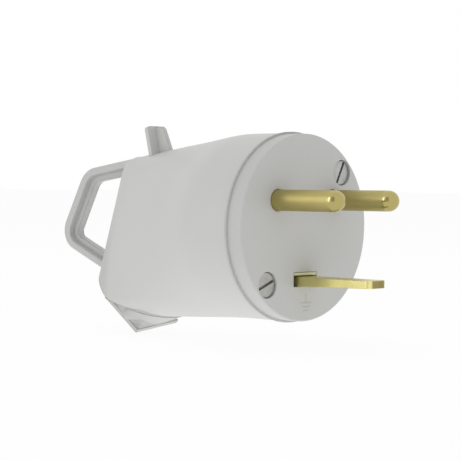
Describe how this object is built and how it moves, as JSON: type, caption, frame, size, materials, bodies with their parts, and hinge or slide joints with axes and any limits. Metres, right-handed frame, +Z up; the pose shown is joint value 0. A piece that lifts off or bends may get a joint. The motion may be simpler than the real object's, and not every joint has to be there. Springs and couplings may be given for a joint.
{
  "type": "electrical plug",
  "caption": "Rewirable mains plug with round line pins, a flat earth blade, a grey tapered housing, a moulded ring handle for pulling and a slanted cord outlet",
  "frame": {"origin": "middle of the front face, where the socket meets it", "axes": "+X out of the face along the pins, +Z up with the line pins above the earth blade, +Y to the left as seen from behind"},
  "size_m": [0.1043, 0.0442, 0.0515],
  "materials": {
    "housing_plastic": "smooth light grey moulding",
    "base_plastic": "smooth light grey moulding",
    "sleeve_plastic": "smooth light grey moulding",
    "carrier_plastic": "plain insulating moulding",
    "pin_brass": "turned, lightly polished",
    "blade_brass": "rolled bar, edges broken",
    "strap_brass": "stamped sheet",
    "insert_brass": "turned",
    "cover_screw_steel": "plated, slotted",
    "terminal_steel": "plated, slotted"
  },
  "bodies": {
    "root": {"housing": "housing_plastic", "outlet_sleeve": "sleeve_plastic", "pin_base": "base_plastic", "terminal_carrier": "carrier_plastic", "clamp_bar": "carrier_plastic", "line_pin_left": "pin_brass", "line_pin_right": "pin_brass", "earth_blade": "blade_brass", "earth_strap": "strap_brass", "cover_insert_upper": "insert_brass", "cover_insert_lower": "insert_brass", "cover_screw_upper": "cover_screw_steel", "cover_screw_lower": "cover_screw_steel", "line_screw_left": "terminal_steel", "line_screw_right": "terminal_steel", "earth_screw": "terminal_steel", "earth_washer": "terminal_steel", "carrier_screw_left": "terminal_steel", "carrier_screw_right": "terminal_steel", "clamp_screw_left": "terminal_steel", "clamp_screw_right": "terminal_steel"}
  },
  "joints": []
}
